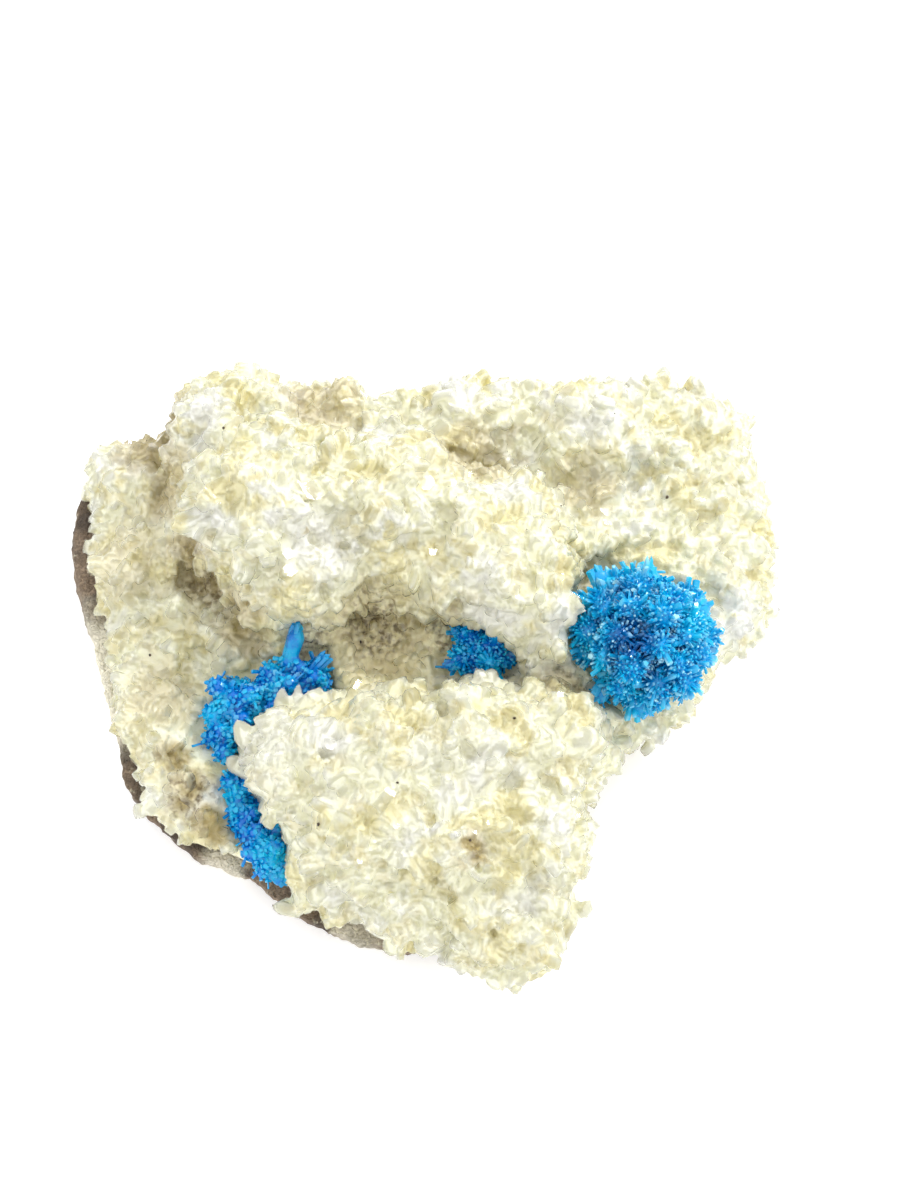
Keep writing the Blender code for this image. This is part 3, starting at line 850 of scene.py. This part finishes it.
reachingValues = {
    "blades": (
        ((-18.6, -11.6, 16.6), (-18.4, -7.2, 19.4), 2.3, 0.9), ((-16.5, -10.8, 17.0), (-16.2, -6.6, 19.4), 1.5, 0.8),
        ((-22.0, -15.4, 15.4), (-24.8, -11.4, 17.6), 3.2, 1.0), ((-23.6, -17.4, 14.0), (-26.0, -16.0, 15.2), 2.6, 0.9),
        ((-21.0, -13.2, 16.0), (-21.2, -10.4, 17.2), 1.8, 0.8), ((-13.9, -10.4, 16.6), (-13.5, -7.8, 17.8), 1.5, 0.7),
    ),
    "stretch": 1.45,  # so that the outline of a blade reaches its tip
}


def reachingBlades(values):
    bm = bmesh.new()
    for name in ("tipward", "across", "shade"):
        bm.verts.layers.float.new(name)
    layers = [bm.verts.layers.float[name] for name in ("tipward", "across")]
    outline = [(u, v * values["stretch"]) for u, v in bladeValues["outline"]]
    for root, tip, width, thickness in values["blades"]:
        axis = (Vector(tip) - Vector(root)) * mm
        across = axis.cross(Vector((0, 0, 1))).normalized()
        face = axis.normalized().cross(across)
        turned = Matrix((across, face, axis.normalized())).transposed().to_4x4()
        size = Matrix.Diagonal((width * mm, thickness * mm, axis.length, 1))
        addPlate(bm, outline, Matrix.Translation(Vector(root) * mm) @ turned @ size, 1.0, 0, bladeValues, layers)
    for vertex in bm.verts:
        vertex[bm.verts.layers.float["shade"]] = 1.0
    return addObject("reachingBlades", finishedMesh(bm, "reachingBlades"))


# Geometry Nodes tree that gives each point of a skin the values of the nearest surface
def carryTree(names):
    tree = bpy.data.node_groups.new("carry values", "GeometryNodeTree")
    tree.is_modifier = True
    given, result = groupSockets(tree, [("Skin", "Geometry"), ("Source", "Object")], [("Skin", "Geometry")])
    source = newNode(tree, "GeometryNodeObjectInfo", {"Object": given["Source"]}).outputs["Geometry"]
    skin = given["Skin"]
    for name in names:
        inputs = {"Mesh": source, "Value": namedValue(tree, name)}
        near = newNode(tree, "GeometryNodeSampleNearestSurface", inputs, data_type="FLOAT")
        skin = withValue(tree, skin, name, near.outputs["Value"])
    fill(tree, result["Skin"], skin)
    return tree


# The body under the blades: bed and blades grown into one milky skin

skinValues = {"voxel": 0.34, "smoothing": 1, "triangles": 196000}


def crustBody(bed, blades, values):
    everyBlade = joined("every blade", blades)
    body = remeshed(joined("crustBody", [bed, everyBlade]), values["voxel"], values["smoothing"])
    fewer = body.modifiers.new("fewer", "DECIMATE")
    fewer.ratio = values["triangles"] / triangleCount(body)
    makePlain(body)
    runTree(body, carryTree(("shelter",)), {"Source": bed})
    runTree(body, carryTree(("shade", "tipward", "across")), {"Source": everyBlade})
    body.data.materials.append(stilbite)
    dropObject(everyBlade)
    return body


blades = []
for number, (name, values) in enumerate(crustRegions.items()):
    blades.append(runTree(cutRegion(bed, name), growing, {
        "Crystals": sheaves, "Spacing": values["spacing"] * mm, "Density": sheafSpread["density"],
        "Seed": sheafSpread["seed"] + 10 * number, "Smallest": metres(*values["smallest"]),
        "Largest": metres(*values["largest"]), "Lean": values["lean"], "Bundle Size": sheafSpread["bundleSize"] * mm,
        "Scatter": values["scatter"], "Centre": (0.0, 0.0, 0.0), "Radial Share": 0.0, "Finish": clear,
    }))
    print(name + ":", triangleCount(blades[-1]), "triangles")
blades.append(reachingBlades(reachingValues))
blades[-1].data.materials.append(clear)
body = crustBody(bed, blades, skinValues)
print("body of the crust:", triangleCount(body), "triangles")

dropObject(bed)
for piece in [body] + blades:
    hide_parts("stilbite_crust")
    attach(piece, "root")


# Tiny dark specks on the crust

speckValues = {
    "spots": ((20.2, 18.3, 24.0), (-8.2, 1.7, 14.0), (-2.3, -22.9, 25.0), (7.1, -29.6, 22.0), (-38.0, 1.5, 10.0),
              (-12.5, -27.0, 21.0), (13.0, -14.0, 25.0), (28.0, 33.0, 24.0), (-27.0, 30.0, 24.0), (36.0, 22.0, 20.0)),
    "size": (0.16, 0.3),
    "squash": (0.6, 1.3),
    "view": (0.0, -0.42, 0.91),  # each falls on the crust from this side
    "from": 30.0,
    "black": (0.03, 0.025, 0.02, 1),
    "brown": (0.09, 0.06, 0.04, 1),
    "brownPatches": (0.4, 0.4, 0.6),
    "roughness": 0.5,
    "seed": 4,
}


def darkSpecks(ground, values):
    draw = random.Random(values["seed"])
    trees = [searchTree(thing) for thing in ground]
    bm = bmesh.new()
    view = Vector(values["view"]).normalized()
    for spot in values["spots"]:
        start = Vector(spot) * mm + view * values["from"] * mm
        hits = [hit for hit in (tree.ray_cast(start, -view) for tree in trees) if hit[0]]
        if hits:
            place = Matrix.Translation(min(hits, key=lambda hit: hit[3])[0])
            squash = Matrix.Diagonal([draw.uniform(*values["squash"]) for i in range(3)] + [1])
            size = draw.uniform(*values["size"]) * mm
            bmesh.ops.create_icosphere(bm, subdivisions=1, radius=size, matrix=place @ squash)
    specks = addObject("darkSpecks", finishedMesh(bm, "darkSpecks"))
    made, tree, shader = newMaterial("dark specks")
    tint = mixColour(tree, cloudMask(tree, clouds, *values["brownPatches"]), values["black"], values["brown"])
    fillAll(tree, shader, {"Base Color": tint, "Roughness": values["roughness"]})
    specks.data.materials.append(made)
    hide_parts("stilbite_crust")
    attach(specks, "root")


darkSpecks([body] + blades, speckValues)
print("specks placed")


# Blue clusters: a core of small lobes, bristling with prisms

clusterValues = {
    "pentagonite_large_rosette": {
        "lobe": (1.2, 1.9), "lobeSpacing": 2.6, "inset": 1.9, "spacing": 0.42, "radial": 0.2,
        "smallest": (0.22, 0.22, 0.5), "largest": (0.52, 0.52, 1.4),
        "spikes": (
            ((32.0, 4.5, 20.0), (32.4, 11.4, 22.0), 2.0), ((27.0, 4.5, 19.5), (24.6, 10.2, 21.8), 2.2),
            ((26.0, 3.0, 18.5), (20.9, 6.4, 20.8), 1.9), ((36.0, 3.0, 19.0), (41.0, 4.8, 20.8), 2.2),
            ((37.0, -1.0, 17.5), (41.6, -2.4, 17.5), 2.1), ((35.0, -4.0, 16.0), (38.2, -7.4, 16.0), 2.0),
            ((31.0, -5.0, 15.5), (31.0, -10.8, 15.8), 2.1), ((27.0, -4.0, 16.0), (24.2, -8.6, 16.0), 1.9),
        )},
    "pentagonite_small_rosette": {
        "lobe": (0.7, 1.1), "lobeSpacing": 1.6, "inset": 0.9, "spacing": 0.42, "radial": 0.4,
        "smallest": (0.3, 0.3, 0.4), "largest": (0.75, 0.65, 1.2),
        "spikes": (
            ((7.4, 1.2, 15.0), (4.4, 3.4, 16.4), 1.3), ((9.8, 1.5, 15.4), (10.2, 4.6, 17.4), 1.3),
            ((11.3, -0.2, 14.8), (14.6, -0.6, 15.0), 1.4), ((7.4, -0.8, 14.2), (4.0, -2.4, 15.0), 1.3),
        )},
    "pentagonite_left_spray": {
        "lobe": (0.7, 1.2), "lobeSpacing": 1.7, "inset": 0.8, "spacing": 0.72, "radial": 0.15, "stout": 0.8,
        "smallest": (0.5, 0.45, 0.25), "largest": (1.15, 0.95, 0.6),
        "long": (((-18.9, -4.2, 14.2), (-16.4, 3.2, 19.0), 1.7),),
        "spikes": (
            ((-26.0, -6.2, 14.0), (-29.6, -4.8, 15.4), 1.2),
            ((-15.2, -3.6, 14.8), (-12.3, -1.2, 16.8), 1.6), ((-27.0, -9.0, 13.4), (-29.6, -10.4, 13.6), 1.3),
        )},
    "pentagonite_flank_seam": {
        "lobe": (0.6, 1.0), "lobeSpacing": 1.5, "inset": 0.7, "spacing": 0.72, "radial": 0.15, "stout": 0.7,
        "smallest": (0.5, 0.45, 0.25), "largest": (1.1, 0.9, 0.55),
        "spikes": (
            ((-24.6, -18.2, 11.8), (-25.6, -16.0, 13.4), 1.2), ((-19.3, -29.2, 10.6), (-18.1, -32.6, 9.9), 1.7),
        )},
}
coreValues = {
    "voxel": 0.35, "smoothing": 5, "lobeVoxel": 0.3, "lobeSmoothing": 1, "tries": 6000,
    "lobeWide": (0.6, 1.2), "lobeHigh": (0.8, 1.3), "lobeRise": 0.15, "shelterReach": 2.5, "shelterRays": 12,
}
fineValues = {"lean": 0.5, "scatter": 0.25, "seed": 5}
stoutValues = {
    "spacing": 1.7, "smallest": (0.5, 0.4, 1.2), "largest": (1.3, 0.8, 2.3), "lean": 0.6, "scatter": 0.5, "seed": 50,
}
prismSpread = {"bundleSize": 1.6, "density": 2.0e7}
spikeValues = {
    "prisms": 7, "width": (0.42, 0.62), "length": (0.62, 1.0), "ring": 0.33, "stagger": 0.2,
    "fan": 0.22, "fanRange": (0.6, 1.4), "seed": 31,
    "bare": 0.75,      # share of its width round a spike that stays free of small prisms
    "bareFrom": 0.35,  # from this share of its length on
    "bareTo": 1.2,
}
longValues = {**spikeValues, "prisms": 4, "fan": 0.0, "width": (0.55, 0.75), "length": (0.78, 0.96), "bare": 2.4}


def evenSpots(thing, spacing, seed):
    draw = random.Random(seed)
    polygons = list(thing.data.polygons)
    areas = [polygon.area for polygon in polygons]
    spots = []
    for polygon in draw.choices(polygons, areas, k=coreValues["tries"]):
        if all((polygon.center - spot[0]).length > spacing * mm for spot in spots):
            spots.append((polygon.center.copy(), polygon.normal.copy()))
    return spots


# Bundle of long prisms side by side, from a root to a tip
def addSpike(bm, root, tip, width, values, draw):
    axis = tip - root
    turned = axis.to_track_quat("Z", "Y")
    for i in range(values["prisms"]):
        turn = math.tau * (i + draw.uniform(-values["stagger"], values["stagger"])) / (values["prisms"] - 1)
        aside = 0.0 if i == 0 else values["ring"] * width
        sideways = Vector((math.cos(turn), math.sin(turn), 0)) * aside
        long = axis.length * (1.0 if i == 0 else draw.uniform(*values["length"]))
        hinge = Vector((-math.sin(turn), math.cos(turn), 0))
        lean = Matrix.Rotation(values["fan"] * aside / width * draw.uniform(*values["fanRange"]), 4, hinge)
        thick = width * draw.uniform(*values["width"])
        place = (Matrix.Translation(root) @ turned.to_matrix().to_4x4() @ Matrix.Translation(sideways) @ lean
                 @ Matrix.Diagonal((thick, thick, long, 1)))
        addPrism(bm, place, draw.random(), prismValues, draw)


def besideSpike(spot, spikes):  # the outer part of a spike stands clear of the small prisms
    for root, tip, width in spikes:
        root, tip = Vector(root), Vector(tip)
        along = (spot / mm - root).dot(tip - root) / (tip - root).length_squared
        nearest = root + (tip - root) * min(spikeValues["bareTo"], max(0.0, along))
        if along > spikeValues["bareFrom"] and (spot / mm - nearest).length < spikeValues["bare"] * width:
            return True
    return False


def growPrisms(host, kind, values, number, centre, radial):
    return runTree(host, growing, {
        "Crystals": prisms, "Spacing": values["spacing"] * mm, "Density": prismSpread["density"],
        "Seed": kind["seed"] + number, "Smallest": metres(*values["smallest"]), "Largest": metres(*values["largest"]),
        "Lean": kind["lean"], "Bundle Size": prismSpread["bundleSize"] * mm, "Scatter": kind["scatter"],
        "Centre": centre, "Radial Share": radial, "Finish": clearAzure,
    })


def blueCluster(nodeName, values, number):
    longOnes = values.get("long", ())
    clearOf = values["spikes"] + tuple((root, tip, longValues["bare"] * width) for root, tip, width in longOnes)
    piece = remeshed(mergedCopy(nodeName, nodeName + "_core"), coreValues["voxel"], coreValues["smoothing"])
    bm = bmesh.new()
    bm.from_mesh(piece.data)
    draw = random.Random(number)
    for spot, normal in evenSpots(piece, values["lobeSpacing"], number):
        size = draw.uniform(*values["lobe"]) * mm
        if besideSpike(spot, clearOf):
            continue
        place = Matrix.Translation(spot - normal * (values["inset"] * mm - coreValues["lobeRise"] * size))
        wide, high = coreValues["lobeWide"], coreValues["lobeHigh"]
        squash = Matrix.Diagonal((draw.uniform(*wide), draw.uniform(*wide), draw.uniform(*high), 1))
        facing = normal.to_track_quat("Z", "Y").to_matrix().to_4x4()
        place = place @ facing @ Matrix.Rotation(draw.uniform(0, math.tau), 4, "Z") @ squash
        bmesh.ops.create_icosphere(bm, subdivisions=2, radius=size, matrix=place)
    bm.to_mesh(piece.data)
    bm.free()
    remeshed(piece, coreValues["lobeVoxel"], coreValues["lobeSmoothing"])
    storeShelter(piece, coreValues["shelterReach"], coreValues["shelterRays"])
    storeFloats(piece.data, "growth", [1.0] * len(piece.data.vertices))
    low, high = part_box(nodeName)
    centre = (low + high) / 2
    centre.z = low.z
    piece.data.materials.append(azure)
    bm = bmesh.new()
    bm.from_mesh(piece.data)
    away = [face for face in bm.faces if besideSpike(face.calc_center_median(), clearOf)]
    bmesh.ops.delete(bm, geom=away, context="FACES")
    host = addObject(nodeName + "_prisms", finishedMesh(bm, nodeName + "_prisms"))
    coarseHost = addObject(nodeName + "_stout_prisms", host.data.copy())
    bristles = growPrisms(host, fineValues, values, number, centre, values["radial"])
    scaled = {name: [size * values.get("stout", 1) for size in stoutValues[name]] for name in ("smallest", "largest")}
    stout = growPrisms(coarseHost, stoutValues, {**stoutValues, **scaled}, number, centre, values["radial"])
    bm = prismMesh()
    chance = random.Random(spikeValues["seed"] + number)
    for root, tip, width in values["spikes"]:
        addSpike(bm, Vector(root) * mm, Vector(tip) * mm, width * mm, spikeValues, chance)
    for root, tip, width in longOnes:
        addSpike(bm, Vector(root) * mm, Vector(tip) * mm, width * mm, longValues, chance)
    spikes = addObject(nodeName + "_spikes", finishedMesh(bm, nodeName + "_spikes"))
    spikes.data.materials.append(clearAzure)
    print(nodeName + ":", triangleCount(piece), triangleCount(bristles), "and", triangleCount(spikes), "triangles")
    for part in (piece, bristles, stout, spikes):
        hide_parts(nodeName)
        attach(part, "root")


for number, (nodeName, values) in enumerate(clusterValues.items()):
    blueCluster(nodeName, values, number)


# Basalt under the crust

slabValues = {
    "voxel": 0.6, "smoothing": 2, "reliefSize": 2.6, "relief": 1.2, "reliefMiddle": 0.65,
    "gritSize": 0.9, "grit": 0.5, "gritMiddle": 0.6,
    "flat": 0.5,  # everything below this goes down to the mount
}


def basaltSlab(values):
    slab = remeshed(mergedCopy("basalt_matrix", "basaltSlab"), values["voxel"], values["smoothing"])
    roughen(slab, "broken basalt", values["reliefSize"], values["relief"], values["reliefMiddle"])
    roughen(slab, "basalt grit", values["gritSize"], values["grit"], values["gritMiddle"])
    makePlain(slab)
    for vertex in slab.data.vertices:
        if vertex.co.z < values["flat"] * mm:
            vertex.co.z = 0.0
    slab.data.materials.append(basalt)
    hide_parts("basalt_matrix")
    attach(slab, "root")
    return slab


slab = basaltSlab(slabValues)
print("basalt:", triangleCount(slab), "triangles")


# Studio

studioValues = {
    "target": (4.5, 7.8, 15.0),
    "elevation": 65.0,
    "distance": 237.0,
    "lens": 50.0,
    "sensor": 36.0,
    "clip": 10.0,
    "world": 1.22,
    "keyEnergy": 0.6,
    "keySize": 90.0,
    "keyPlace": (170.0, 190.0, 260.0),
    "floorSize": 3000.0,
    "floorTint": (0.95, 0.95, 0.95, 1),
    "floorRoughness": 0.9,
    "floorGlow": 0.3,
}


def studio(values):
    scene = bpy.context.scene
    target = Vector(values["target"]) * mm
    rise = math.radians(values["elevation"])
    camera = addObject("camera", bpy.data.cameras.new("camera"))
    camera.location = target + Vector((0, -math.cos(rise), math.sin(rise))) * values["distance"] * mm
    camera.data.lens = values["lens"]
    camera.data.sensor_width = values["sensor"]
    camera.data.clip_start = values["clip"] * mm
    scene.camera = camera
    key = addObject("key", bpy.data.lights.new("key", "AREA"))
    key.location = Vector(values["keyPlace"]) * mm
    key.data.energy = values["keyEnergy"]
    key.data.shape = "DISK"
    key.data.size = values["keySize"] * mm
    for thing in (camera, key):
        thing.rotation_euler = (target - thing.location).to_track_quat("-Z", "Y").to_euler()

    scene.world = bpy.data.worlds.new("studio")
    scene.world.use_nodes = True
    tree = scene.world.node_tree
    fillAll(tree, tree.nodes["Background"], {"Color": (1, 1, 1, 1), "Strength": values["world"]})
    scene.view_settings.view_transform = "Standard"

    bm = bmesh.new()
    bmesh.ops.create_grid(bm, x_segments=1, y_segments=1, size=values["floorSize"] * mm / 2)
    floor = addObject("floor", madeMesh(bm, "floor"))
    made, tree, shader = newMaterial("studio floor")
    fillAll(tree, shader, {
        "Base Color": values["floorTint"], "Roughness": values["floorRoughness"],
        "Emission Color": (1, 1, 1, 1), "Emission Strength": values["floorGlow"],
    })
    floor.data.materials.append(made)


studio(studioValues)
print("studio set")
